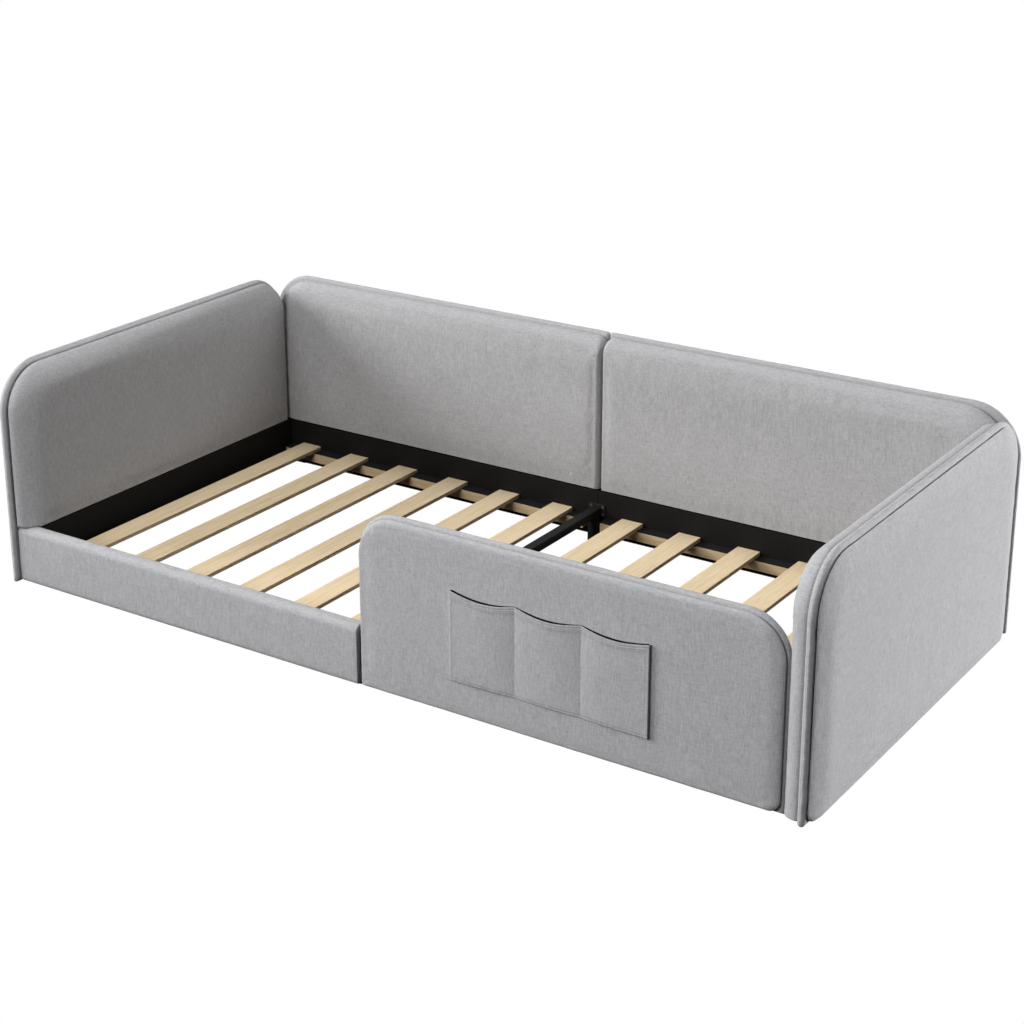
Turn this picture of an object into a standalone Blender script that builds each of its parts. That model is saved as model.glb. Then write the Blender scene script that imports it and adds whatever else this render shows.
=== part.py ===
"""Upholstered toddler bed: padded end, back and guard panels round two runs of slats.

Metres, +Z up. X is the length, with the open step-in side on -X; -Y is the front; Z = 0 is the floor.
Each panel is a wrapped core board whose rim stands proud, like piping, between an inner and an outer pad.
"""

import math

import bmesh
import bpy
from mathutils import Vector

# Driving sizes.
INNER_LENGTH = 1.900
INNER_DEPTH = 0.907
PANEL_HEIGHT = 0.522
CORE_THICKNESS = 0.017
RIM = 0.008
PANEL_CORNER = 0.115
CORE_EDGE = 0.006
END_PAD_THICKNESS = 0.0476
BACK_PAD_THICKNESS = 0.0411
OUTER_PAD_THICKNESS = 0.0160
PAD_EDGE = 0.0075
PAD_BASE_GAP = 0.004
INNER_PAD_BACK_CORNER = 0.064
BACK_OVERHANG = 0.0056
GAP = 0.0003

# Inner rails, which carry the slats.
RAIL_TOP = 0.133
RAIL_BOTTOM = 0.020
RAIL_EDGE = 0.001
LINER_THICKNESS = 0.005
LEDGER_DEPTH = 0.0295
LEDGER_HEIGHT = 0.024
LEDGER_TOP = 0.0657
FELT_THICKNESS = 0.002
LEDGER_END_GAP = 0.004
LEDGER_EDGE = 0.0008
CENTRE_CLEARANCE = 0.024

# Slats.
SLATS_PER_HALF = 6
SLAT_WIDTH = 0.0585
SLAT_THICKNESS = 0.010
SLAT_PITCH = 0.1561
SLAT_CENTRE_OFFSET = 0.0695
SLAT_END_PLAY = 0.001
SLAT_EDGE = 0.0012

# Cross bar and its legs.
BAR_WIDTH = 0.0245
BAR_HEIGHT = 0.019
BAR_WALL = 0.002
BAR_TOP = 0.095
BAR_PLATE = 0.0025
BAR_PLATE_WIDTH = 0.046
BAR_PLATE_HEIGHT = 0.032
BAR_PLATE_EDGE = 0.0008
BAR_EDGE = 0.0012
LEG_RADIUS = 0.0145
LEG_EDGE = 0.001
GLIDE_HEIGHT = 0.006
GLIDE_RADIUS = 0.0125
GLIDE_EDGE = 0.0012

# Front: low step-in rail on the left half, high guard on the right half.
FRONT_RECESS = 0.009
FRONT_PAD_THICKNESS = 0.014
FRONT_BOARD_THICKNESS = 0.015
FRONT_JOINT = 0.012
STEP_RAIL_RISE = 0.005
STEP_RAIL_CAP = 0.014
STEP_RAIL_EDGE = 0.009
GUARD_HEIGHT = 0.397
GUARD_CORNER = 0.092
GUARD_INTO_END = 0.013
GUARD_RIM = 0.007
GUARD_REBATE_GAP = 0.003
GUARD_PAD_EDGE = 0.0065
GUARD_INNER_PAD_EDGE = 0.002
SEAM_CORE_CORNER = 0.007
SEAM_PAD_CORNER = 0.022

# Pocket organiser on the guard.
POCKET_COUNT = 3
POCKET_WIDTH = 0.1518
POCKET_HEIGHT = 0.1965
POCKET_BOTTOM = 0.0835
POCKET_CENTRE = 0.455
POCKET_SAG = 0.010
POCKET_DEPTH = 0.0082
POCKET_FABRIC = 0.0016
POCKET_SEAM = 0.006

# Corner brackets.
BRACKET_LEG = 0.045
BRACKET_THICKNESS = 0.0025
BRACKET_HEIGHT = 0.017

# How fine the curved outlines are, and how near two points are one.
CORNER_STEPS = 9
SAG_STEPS = 8
LEG_SIDES = 32
WELD_DISTANCE = 0.00001
FLAT_ANGLE = 1.0

# Places worked out from the sizes above. The pads fill the room between rails' faces and core boards.
HALF_LENGTH = INNER_LENGTH / 2
END_CORE_IN = HALF_LENGTH + END_PAD_THICKNESS
END_CORE_OUT = END_CORE_IN + CORE_THICKNESS
END_OUT = END_CORE_OUT + GAP + OUTER_PAD_THICKNESS
FRONT_STACK = LINER_THICKNESS + FRONT_BOARD_THICKNESS + FRONT_PAD_THICKNESS + FRONT_RECESS
BACK_STACK = BACK_PAD_THICKNESS + CORE_THICKNESS + GAP + OUTER_PAD_THICKNESS
TOTAL_DEPTH = FRONT_STACK + INNER_DEPTH + BACK_STACK
FRONT = -TOTAL_DEPTH / 2
INNER_FRONT = FRONT + FRONT_STACK
INNER_BACK = INNER_FRONT + INNER_DEPTH
BACK_CORE_IN = INNER_BACK + BACK_PAD_THICKNESS
BACK_CORE_OUT = BACK_CORE_IN + CORE_THICKNESS
FRONT_FACE = FRONT + FRONT_RECESS
FRONT_BOARD = FRONT_FACE + FRONT_PAD_THICKNESS
FRONT_LINER = FRONT_BOARD + FRONT_BOARD_THICKNESS
BACK_HALF_LENGTH = END_CORE_OUT + BACK_OVERHANG
GUARD_RIGHT = HALF_LENGTH + GUARD_INTO_END
STEP_RAIL_HEIGHT = RAIL_TOP + STEP_RAIL_RISE
SLAT_BOTTOM = LEDGER_TOP + GAP + FELT_THICKNESS
BAR_BOTTOM = BAR_TOP - BAR_HEIGHT

FABRIC = ((0.36, 0.36, 0.37), 0.92, 0.0)
BLACK = ((0.012, 0.012, 0.012), 0.55, 0.0)
WOOD = ((0.62, 0.46, 0.26), 0.55, 0.0)
FELT = ((0.03, 0.03, 0.032), 0.95, 0.0)
STEEL = ((0.03, 0.03, 0.032), 0.40, 0.8)
PLASTIC = ((0.02, 0.02, 0.02), 0.50, 0.0)


def clear_scene():
    for obj in list(bpy.data.objects):
        bpy.data.objects.remove(obj, do_unlink=True)


def new_collection(name, helper=False):
    collection = bpy.data.collections.new(name)
    collection.hide_render = helper
    bpy.context.scene.collection.children.link(collection)
    return collection


clear_scene()
BED = new_collection("toddler_bed")
CUTTERS = new_collection("cutters", helper=True)


def give_material(obj, look):
    colour, roughness, metallic = look
    material = bpy.data.materials.new(obj.name + "_material")
    material.use_nodes = True
    shader = material.node_tree.nodes["Principled BSDF"]
    shader.inputs["Base Color"].default_value = (*colour, 1.0)
    shader.inputs["Roughness"].default_value = roughness
    shader.inputs["Metallic"].default_value = metallic
    obj.data.materials.append(material)


def put_in(obj, collection):
    for old in list(obj.users_collection):
        old.objects.unlink(obj)
    collection.objects.link(obj)


def finish_part(obj, look):
    put_in(obj, BED)
    give_material(obj, look)
    return obj


def bevel(obj, width, segments=2, angle=50.0):
    modifier = obj.modifiers.new("Round edges", "BEVEL")
    modifier.width = width
    modifier.segments = segments
    modifier.limit_method = "ANGLE"
    modifier.angle_limit = math.radians(angle)


def box_mesh(name, low, high):
    """A plain box between two corners, as an object with its origin at the box's centre."""
    low, high = Vector(low), Vector(high)
    mesh = bpy.data.meshes.new(name)
    shape = bmesh.new()
    bmesh.ops.create_cube(shape, size=1.0)
    bmesh.ops.scale(shape, vec=high - low, verts=shape.verts)
    shape.to_mesh(mesh)
    shape.free()
    obj = bpy.data.objects.new(name, mesh)
    obj.location = (low + high) / 2
    return obj


def box(name, low, high, look, edge=0.0, segments=1):
    obj = finish_part(box_mesh(name, low, high), look)
    if edge:
        bevel(obj, edge, segments)
    return obj


def cut_box(target, name, low, high):
    cutter = box_mesh(name, low, high)
    CUTTERS.objects.link(cutter)
    cutter.hide_render = True
    cutter.display_type = "WIRE"
    cut(target, cutter)


def cut(target, cutter):
    modifier = target.modifiers.new("Cut " + cutter.name, "BOOLEAN")
    modifier.operation = "DIFFERENCE"
    modifier.solver = "EXACT"
    modifier.object = cutter


def arc(centre, radius, start, end, steps):
    """Points of a circular arc, with angles in degrees."""
    points = []
    for step in range(steps + 1):
        angle = math.radians(start + (end - start) * step / steps)
        points.append((centre[0] + radius * math.cos(angle), centre[1] + radius * math.sin(angle)))
    return points


def tombstone(left, right, bottom, top, left_radius, right_radius):
    """Outline of an upright panel with square lower corners and rounded upper ones."""
    points = [(left, bottom), (right, bottom)]
    points += arc((right - right_radius, top - right_radius), right_radius, 0, 90, CORNER_STEPS)
    points += arc((left + left_radius, top - left_radius), left_radius, 90, 180, CORNER_STEPS)
    return points


def board(name, outline, thickness, look):
    """A flat board from an outline in its local XY plane, centred on it, as a welded mesh."""
    curve = bpy.data.curves.new(name, "CURVE")
    curve.dimensions = "2D"
    curve.fill_mode = "BOTH"
    curve.extrude = thickness / 2
    spline = curve.splines.new("POLY")
    spline.points.add(len(outline) - 1)
    for point, (x, y) in zip(spline.points, outline):
        point.co = (x, y, 0.0, 1.0)
    spline.use_cyclic_u = True
    drawn = bpy.data.objects.new(name + "_outline", curve)
    CUTTERS.objects.link(drawn)
    mesh = bpy.data.meshes.new_from_object(drawn.evaluated_get(bpy.context.evaluated_depsgraph_get()))
    bpy.data.objects.remove(drawn, do_unlink=True)
    shape = bmesh.new()
    shape.from_mesh(mesh)
    bmesh.ops.remove_doubles(shape, verts=shape.verts, dist=WELD_DISTANCE)
    flat = math.radians(FLAT_ANGLE)
    bmesh.ops.dissolve_limit(shape, angle_limit=flat, verts=shape.verts, edges=shape.edges)
    bmesh.ops.recalc_face_normals(shape, faces=shape.faces)
    shape.to_mesh(mesh)
    shape.free()
    obj = bpy.data.objects.new(name, mesh)
    return finish_part(obj, look)


def face_x(obj, near, far):
    """Stands a board up so that its outline lies in the YZ plane, between two values of X."""
    obj.rotation_euler = (math.radians(90), 0, math.radians(90))
    obj.location.x = (near + far) / 2


def face_y(obj, near, far):
    """Stands a board up so that its outline lies in the XZ plane, between two values of Y."""
    obj.rotation_euler = (math.radians(90), 0, 0)
    obj.location.y = (near + far) / 2


def x_board(name, outline, near, far, look, edge, segments=2):
    obj = board(name, outline, abs(far - near), look)
    face_x(obj, near, far)
    bevel(obj, edge, segments)
    return obj


def y_board(name, outline, near, far, look, edge, segments=2):
    obj = board(name, outline, abs(far - near), look)
    face_y(obj, near, far)
    bevel(obj, edge, segments)
    return obj


def make_end_panel(name, side):
    """One end panel, with side -1 on the left and +1 on the right."""
    back_edge = BACK_CORE_IN - GAP
    core_outline = tombstone(FRONT, back_edge, 0, PANEL_HEIGHT, PANEL_CORNER, PANEL_CORNER)
    core_near, core_far = side * END_CORE_IN, side * END_CORE_OUT
    x_board(name + "_core_board", core_outline, core_near, core_far, FABRIC, CORE_EDGE)
    pad_corner = PANEL_CORNER - RIM
    pad_front, pad_back, pad_top = FRONT + RIM, back_edge - RIM, PANEL_HEIGHT - RIM
    outer_outline = tombstone(pad_front, pad_back, PAD_BASE_GAP, pad_top, pad_corner, pad_corner)
    outer_near = side * (END_CORE_OUT + GAP)
    x_board(name + "_outer_pad", outer_outline, outer_near, side * END_OUT, FABRIC, PAD_EDGE, 3)
    make_end_inner_pad(name, side, pad_front, pad_top, pad_corner)


def make_end_inner_pad(name, side, front, top, corner):
    """The pad above the end's inner rail. It makes room for the front piece that meets it."""
    back = INNER_BACK - GAP
    has_guard = side > 0
    bottom = PAD_BASE_GAP if has_guard else RAIL_TOP + GAP
    outline = tombstone(front, back, bottom, top, corner, INNER_PAD_BACK_CORNER)
    near, far = side * HALF_LENGTH, side * (END_CORE_IN - GAP)
    pad = x_board(name + "_inner_pad", outline, near, far, FABRIC, PAD_EDGE, 3)
    past = END_PAD_THICKNESS * 2
    low_x, high_x = sorted((side * (HALF_LENGTH - past), side * (END_CORE_IN + past)))
    if has_guard:
        rail_zone = (low_x, INNER_FRONT - GAP, -past), (high_x, back + past, RAIL_TOP + GAP)
        guard_zone = (
            (low_x, front - past, -past),
            (GUARD_RIGHT + GUARD_REBATE_GAP, INNER_FRONT + GUARD_REBATE_GAP, GUARD_HEIGHT + GUARD_REBATE_GAP),
        )
        cut_box(pad, name + "_rail_cut", *rail_zone)
        cut_box(pad, name + "_guard_rebate", *guard_zone)
    else:
        step_zone = (
            (low_x, front - past, 0),
            (high_x, INNER_FRONT + GAP, STEP_RAIL_HEIGHT + GAP),
        )
        cut_box(pad, name + "_step_rail_cut", *step_zone)


def make_back_panel(name, side):
    """Half of the back panel. Its outer upper corner is large, and the one at the seam is small."""
    seam = GAP
    left, right = sorted((side * seam, side * BACK_HALF_LENGTH))
    corners = (PANEL_CORNER, SEAM_CORE_CORNER) if side < 0 else (SEAM_CORE_CORNER, PANEL_CORNER)
    outline = tombstone(left, right, 0, PANEL_HEIGHT, *corners)
    y_board("back_core_board_" + name, outline, BACK_CORE_IN, BACK_CORE_OUT, FABRIC, CORE_EDGE)

    left, right = sorted((side * seam, side * (END_CORE_IN - GAP)))
    big, small = PANEL_CORNER - RIM, SEAM_PAD_CORNER
    pad_corners = (big, small) if side < 0 else (small, big)
    outline = tombstone(left, right, RAIL_TOP + GAP, PANEL_HEIGHT - RIM, *pad_corners)
    y_board("back_inner_pad_" + name, outline, INNER_BACK, BACK_CORE_IN - GAP, FABRIC, PAD_EDGE, 3)

    left, right = sorted((side * RIM, side * (BACK_HALF_LENGTH - RIM)))
    outline = tombstone(left, right, PAD_BASE_GAP, PANEL_HEIGHT - RIM, *pad_corners)
    outer_near = BACK_CORE_OUT + GAP
    outer_far = outer_near + OUTER_PAD_THICKNESS
    y_board("back_outer_pad_" + name, outline, outer_near, outer_far, FABRIC, PAD_EDGE, 3)


def make_inner_rails():
    """Black rails below the pads, flush with them, which hold the ledgers. They stop short of the floor."""
    low_z, high_z, edge = RAIL_BOTTOM, RAIL_TOP, RAIL_EDGE
    for name, side in (("left", -1), ("right", 1)):
        near, far = sorted((side * HALF_LENGTH, side * (END_CORE_IN - GAP)))
        low, high = (near, INNER_FRONT, low_z), (far, BACK_CORE_IN - GAP, high_z)
        box("inner_rail_" + name, low, high, BLACK, edge)
        near, far = sorted((side * GAP, side * (HALF_LENGTH - GAP)))
        back_low, back_high = (near, INNER_BACK, low_z), (far, BACK_CORE_IN - GAP, high_z)
        box("inner_rail_back_" + name, back_low, back_high, BLACK, edge)
        front_low, front_high = (near, FRONT_LINER + GAP, low_z), (far, INNER_FRONT, high_z)
        box("inner_rail_front_" + name, front_low, front_high, BLACK, edge)


def make_ledgers():
    """Battens along the front and back rails, each with a felt strip that the slats rest on."""
    for row, face, inward in (("back", INNER_BACK, -1), ("front", INNER_FRONT, 1)):
        near, far = sorted((face + inward * GAP, face + inward * LEDGER_DEPTH))
        for name, side in (("left", -1), ("right", 1)):
            start, end = sorted((side * CENTRE_CLEARANCE, side * (HALF_LENGTH - LEDGER_END_GAP)))
            low, high = (start, near, LEDGER_TOP - LEDGER_HEIGHT), (end, far, LEDGER_TOP)
            box(f"ledger_{row}_{name}", low, high, WOOD, LEDGER_EDGE)
            low, high = (start, near, LEDGER_TOP + GAP), (end, far, SLAT_BOTTOM - GAP)
            box(f"felt_strip_{row}_{name}", low, high, FELT)


def make_slats():
    """Slats in two mirrored runs, numbered from the left end."""
    low_y, high_y = INNER_FRONT + SLAT_END_PLAY, INNER_BACK - SLAT_END_PLAY
    starts = [SLAT_CENTRE_OFFSET + index * SLAT_PITCH for index in range(SLATS_PER_HALF)]
    starts = [-start - SLAT_WIDTH for start in reversed(starts)] + starts
    for number, start in enumerate(starts, 1):
        low = (start, low_y, SLAT_BOTTOM)
        high = (start + SLAT_WIDTH, high_y, SLAT_BOTTOM + SLAT_THICKNESS)
        box(f"slat_{number:02d}", low, high, WOOD, SLAT_EDGE)


def make_cross_bar():
    """Steel box tube across the middle, with an end plate at each rail that bridges the rails' joint."""
    low_y, high_y = INNER_FRONT + BAR_PLATE + 2 * GAP, INNER_BACK - BAR_PLATE - 2 * GAP
    low, high = (-BAR_WIDTH / 2, low_y, BAR_BOTTOM), (BAR_WIDTH / 2, high_y, BAR_TOP)
    bar = box("cross_bar", low, high, STEEL, BAR_EDGE)
    bore_low = (-BAR_WIDTH / 2 + BAR_WALL, low_y - BAR_WIDTH, BAR_BOTTOM + BAR_WALL)
    bore_high = (BAR_WIDTH / 2 - BAR_WALL, high_y + BAR_WIDTH, BAR_TOP - BAR_WALL)
    cut_box(bar, "cross_bar_bore", bore_low, bore_high)
    middle = (BAR_TOP + BAR_BOTTOM) / 2
    for name, face, inward in (("front", INNER_FRONT, 1), ("back", INNER_BACK, -1)):
        near, far = sorted((face + inward * GAP, face + inward * (GAP + BAR_PLATE)))
        low = (-BAR_PLATE_WIDTH / 2, near, middle - BAR_PLATE_HEIGHT / 2)
        high = (BAR_PLATE_WIDTH / 2, far, middle + BAR_PLATE_HEIGHT / 2)
        box("cross_bar_plate_" + name, low, high, STEEL, BAR_PLATE_EDGE)


def cylinder(name, radius, low, high, y, look, edge):
    """An upright cylinder on the bed's middle plane, x = 0."""
    mesh = bpy.data.meshes.new(name)
    shape = bmesh.new()
    bmesh.ops.create_cone(
        shape, cap_ends=True, segments=LEG_SIDES, radius1=radius, radius2=radius, depth=high - low
    )
    shape.to_mesh(mesh)
    shape.free()
    obj = finish_part(bpy.data.objects.new(name, mesh), look)
    obj.location.y, obj.location.z = y, (low + high) / 2
    bevel(obj, edge)


def make_legs():
    """Round legs under the ends of the cross bar, each on a plastic glide."""
    clearance = BAR_PLATE + 2 * GAP
    for name, face, inward in (("front", INNER_FRONT, 1), ("back", INNER_BACK, -1)):
        y = face + inward * (clearance + LEG_RADIUS)
        leg_low, leg_high = GLIDE_HEIGHT + GAP, BAR_BOTTOM - GAP
        cylinder("leg_" + name, LEG_RADIUS, leg_low, leg_high, y, STEEL, LEG_EDGE)
        cylinder("leg_glide_" + name, GLIDE_RADIUS, 0, GLIDE_HEIGHT, y, PLASTIC, GLIDE_EDGE)


def make_step_rail():
    """Low front rail. Its cover pads the board's front and caps its top."""
    left, right = -(END_CORE_IN - GAP), -FRONT_JOINT - 2 * GAP
    board_top = STEP_RAIL_HEIGHT - STEP_RAIL_CAP
    low, high = (left, FRONT_BOARD, 0), (right, FRONT_LINER, board_top)
    box("step_rail_board", low, high, BLACK, RAIL_EDGE)
    low, high = (left, FRONT_FACE, PAD_BASE_GAP), (right, INNER_FRONT, STEP_RAIL_HEIGHT)
    cover = box("step_rail_cover", low, high, FABRIC, STEP_RAIL_EDGE, 3)
    under = END_PAD_THICKNESS
    cut_low = (left - under, FRONT_BOARD - GAP, -under)
    cut_high = (right + under, INNER_FRONT + under, board_top + GAP)
    cut_box(cover, "step_rail_board_room", cut_low, cut_high)
    cut_low = (left - under, FRONT_LINER - GAP, -under)
    cut_high = (right + under, INNER_FRONT + under, RAIL_TOP + GAP)
    cut_box(cover, "step_rail_liner_room", cut_low, cut_high)


def make_guard():
    """High front guard: a core board with a crowned front pad and a thin inner pad above the inner rail."""
    left, right = -FRONT_JOINT, GUARD_RIGHT
    outline = tombstone(left, right, 0, GUARD_HEIGHT, GUARD_CORNER, GUARD_CORNER)
    y_board("guard_core_board", outline, FRONT_BOARD, FRONT_LINER, FABRIC, CORE_EDGE)
    corner, top = GUARD_CORNER - GUARD_RIM, GUARD_HEIGHT - GUARD_RIM
    pad_left, pad_right = left + GUARD_RIM, right - GUARD_RIM
    outline = tombstone(pad_left, pad_right, PAD_BASE_GAP, top, corner, corner)
    y_board("guard_front_pad", outline, FRONT_FACE, FRONT_BOARD - GAP, FABRIC, GUARD_PAD_EDGE, 3)
    pad_right = HALF_LENGTH - GUARD_REBATE_GAP
    outline = tombstone(pad_left, pad_right, RAIL_TOP + GAP, top, corner, corner)
    y_board("guard_inner_pad", outline, FRONT_LINER + GAP, INNER_FRONT, FABRIC, GUARD_INNER_PAD_EDGE)


def pocket_outline(left, width, bottom, top):
    """A panel whose top edge dips between the pockets' corners."""
    points = [(left, bottom), (left + width * POCKET_COUNT, bottom)]
    for pocket in reversed(range(POCKET_COUNT)):
        for step in range(SAG_STEPS + (pocket == 0)):
            along = 1 - step / SAG_STEPS
            dip = POCKET_SAG * math.sin(math.pi * along)
            points.append((left + width * (pocket + along), top - dip))
    return points


def make_pockets():
    """One fabric panel sewn to the guard's front pad in three open-topped pockets."""
    left = POCKET_CENTRE - POCKET_WIDTH * POCKET_COUNT / 2
    top = POCKET_BOTTOM + POCKET_HEIGHT
    outline = pocket_outline(left, POCKET_WIDTH, POCKET_BOTTOM, top)
    back = FRONT_FACE - GAP
    panel = board("pocket_panel", outline, POCKET_DEPTH, FABRIC)
    face_y(panel, back - POCKET_DEPTH, back)
    for pocket in range(POCKET_COUNT):
        start = left + pocket * POCKET_WIDTH
        low = (start + POCKET_SEAM / 2, back - POCKET_DEPTH + POCKET_FABRIC, POCKET_BOTTOM + POCKET_SEAM)
        high = (start + POCKET_WIDTH - POCKET_SEAM / 2, back + POCKET_DEPTH, top + POCKET_SEAM)
        cut_box(panel, f"pocket_room_{pocket + 1}", low, high)


def make_corner_brackets():
    """Steel angles in the four inner corners, below the ledgers."""
    low_z = RAIL_BOTTOM + GAP
    leg, wall = BRACKET_LEG, BRACKET_THICKNESS
    for name, side, face, inward in (
        ("front_left", -1, INNER_FRONT, 1),
        ("front_right", 1, INNER_FRONT, 1),
        ("back_left", -1, INNER_BACK, -1),
        ("back_right", 1, INNER_BACK, -1),
    ):
        corner_x, corner_y = side * (HALF_LENGTH - GAP), face + inward * GAP
        x_low, x_high = sorted((corner_x, corner_x - side * leg))
        y_low, y_high = sorted((corner_y, corner_y + inward * leg))
        bracket = box(
            "corner_bracket_" + name,
            (x_low, y_low, low_z),
            (x_high, y_high, low_z + BRACKET_HEIGHT),
            STEEL,
        )
        x_low, x_high = sorted((corner_x - side * wall, corner_x - side * 2 * leg))
        y_low, y_high = sorted((corner_y + inward * wall, corner_y + inward * 2 * leg))
        low, high = (x_low, y_low, low_z - leg), (x_high, y_high, low_z + leg)
        cut_box(bracket, "bracket_room_" + name, low, high)


make_end_panel("left", -1)
make_end_panel("right", 1)
make_back_panel("left", -1)
make_back_panel("right", 1)
make_inner_rails()
make_ledgers()
make_slats()
make_cross_bar()
make_legs()
make_step_rail()
make_guard()
make_pockets()
make_corner_brackets()
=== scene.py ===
"""Looks for the upholstered toddler bed: wrapped rims, crowned pads, pockets, slats and black rails.

Metres, +Z up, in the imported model's frame: X is the length, -Y the front, Z = 0 the floor.
"""

import math

import bmesh
import bpy
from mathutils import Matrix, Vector, noise


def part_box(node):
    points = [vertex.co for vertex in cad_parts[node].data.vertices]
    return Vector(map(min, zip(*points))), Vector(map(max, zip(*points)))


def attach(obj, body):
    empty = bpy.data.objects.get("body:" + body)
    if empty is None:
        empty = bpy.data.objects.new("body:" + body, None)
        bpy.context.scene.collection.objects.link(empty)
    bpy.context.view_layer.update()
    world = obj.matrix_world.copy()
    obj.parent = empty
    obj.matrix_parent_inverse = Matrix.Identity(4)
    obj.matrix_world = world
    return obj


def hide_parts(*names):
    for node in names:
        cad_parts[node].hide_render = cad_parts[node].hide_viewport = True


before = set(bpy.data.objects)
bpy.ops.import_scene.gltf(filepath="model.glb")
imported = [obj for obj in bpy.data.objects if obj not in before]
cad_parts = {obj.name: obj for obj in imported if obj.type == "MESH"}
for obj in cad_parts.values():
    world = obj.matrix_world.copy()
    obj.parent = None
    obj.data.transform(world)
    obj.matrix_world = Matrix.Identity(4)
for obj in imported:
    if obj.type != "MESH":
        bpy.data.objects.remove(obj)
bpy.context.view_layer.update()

# Upholstery.
RING_STEP = 0.010
ARC_STEPS = 16
RIM_ROUND = 0.0092
SIDE_REACH = 0.052
OUTER_REACH = 0.072
GUARD_REACH = 0.052
GUARD_INNER_REACH = 0.020
CROWN = 0.0015
OUTER_UNDERCUT = 0.011
INNER_UNDERCUT = 0.005
ROLL_SHARE = 0.16
LEAST_ROLL = 0.0035
SEAM_RINGS = 3
FIRM_SPAN = 0.5
GUARD_FIRMNESS = 0.78
MERGE_DISTANCE = 0.0022
HELD = "held"
HELD_BELOW = 0.35
FREE_ABOVE = 0.90
HELD_EDGE = 0.004
FREE_INSIDE = 0.030
CLOTH_FRAMES = 20
CLOTH_QUALITY = 4
CLOTH_MASS = 0.3
CLOTH_TENSION = 25.0
CLOTH_SHEAR = 8.0
CLOTH_BENDING = 0.6
CLOTH_PRESSURE = 2.5
CLOTH_SLACK = -0.003
MOST_MOVE = 0.0028
OUTER_MOVE = 0.0016
GUARD_MOVE = 0.0008
THIN_FULLNESS = 1.25
PUCKER_DEPTH = 0.0008
PUCKER_LENGTH = 0.026
PUCKER_REACH = 0.020
CLEAR = 0.0003

# Step rail's cover.
STEP_END_ROUND = 0.009
STEP_GUARD_ROUND = 0.0020

# Pocket cloth.
POCKETS = 3
POCKET_SAG = 0.010
CLOTH = 0.0013
EDGE_STAND = 0.0062
SEAM_STAND = 0.0016
HEM = 0.0115
# A near-black sheet inside the pockets, standing in for the shade in their openings: painted shade.
SHADE_SHEET_MARGIN = 0.003
SHADE_SHEET_SHOWS = 0.0008
SHADE_SHEET_DEPTH = 0.022
SHADE_SHEET_STAND = 0.0009
SHADE_SHEET_THICKNESS = 0.0008
STITCH_LENGTH = 0.0036
STITCH_GAP = 0.0016
STITCH_RADIUS = 0.00042

# Corner radii of the panels, as built in the frame.
PANEL_CORNER = 0.115
PAD_CORNER = 0.107
GUARD_CORNER = 0.092
GUARD_PAD_CORNER = 0.085
SEAM_CORE_CORNER = 0.007
SEAM_PAD_CORNER = 0.022
PAD_FOOT = 0.024
SQUARE = 0.004


# ---------------------------------------------------------------- materials

def new_material(name):
    material = bpy.data.materials.new(name)
    material.use_nodes = True
    return material, material.node_tree.nodes, material.node_tree.links


def principled(nodes):
    return nodes["Principled BSDF"]


def object_noise(nodes, links, scale, detail=2.0, roughness=0.5):
    """Noise in object space with its own scale along each axis, so that it can streak."""
    place = nodes.new("ShaderNodeTexCoord")
    mapping = nodes.new("ShaderNodeMapping")
    mapping.inputs["Scale"].default_value = scale
    texture = nodes.new("ShaderNodeTexNoise")
    texture.inputs["Scale"].default_value = 1.0
    texture.inputs["Detail"].default_value = detail
    texture.inputs["Roughness"].default_value = roughness
    links.new(place.outputs["Object"], mapping.inputs["Vector"])
    links.new(mapping.outputs["Vector"], texture.inputs["Vector"])
    return texture.outputs["Fac"]


def ramp(nodes, links, value, stops):
    node = nodes.new("ShaderNodeValToRGB")
    elements = node.color_ramp.elements
    while len(elements) < len(stops):
        elements.new(0.5)
    for element, (position, colour) in zip(elements, stops):
        element.position = position
        element.color = (*colour, 1.0)
    links.new(value, node.inputs["Fac"])
    return node.outputs["Color"]


def blend(nodes, links, first, second, factor, mode="MIX"):
    node = nodes.new("ShaderNodeMix")
    node.data_type = "RGBA"
    node.blend_type = mode
    sockets = [socket for socket in node.inputs if socket.type == "RGBA"]
    for socket, source in zip(sockets, (first, second)):
        if isinstance(source, tuple):
            socket.default_value = (*source, 1.0)
        else:
            links.new(source, socket)
    if isinstance(factor, float):
        node.inputs["Factor"].default_value = factor
    else:
        links.new(factor, node.inputs["Factor"])
    return next(socket for socket in node.outputs if socket.type == "RGBA")


def maths(nodes, links, operation, first, second=None):
    node = nodes.new("ShaderNodeMath")
    node.operation = operation
    for socket, source in zip(node.inputs, (first, second)):
        if source is None:
            continue
        if isinstance(source, float):
            socket.default_value = source
        else:
            links.new(source, socket)
    return node.outputs["Value"]


def bump(nodes, links, height, distance, strength=1.0):
    node = nodes.new("ShaderNodeBump")
    node.inputs["Strength"].default_value = strength
    node.inputs["Distance"].default_value = distance
    links.new(height, node.inputs["Height"])
    links.new(node.outputs["Normal"], principled(nodes).inputs["Normal"])


def grey(value):
    return (value, value, value * 1.01)


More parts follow.
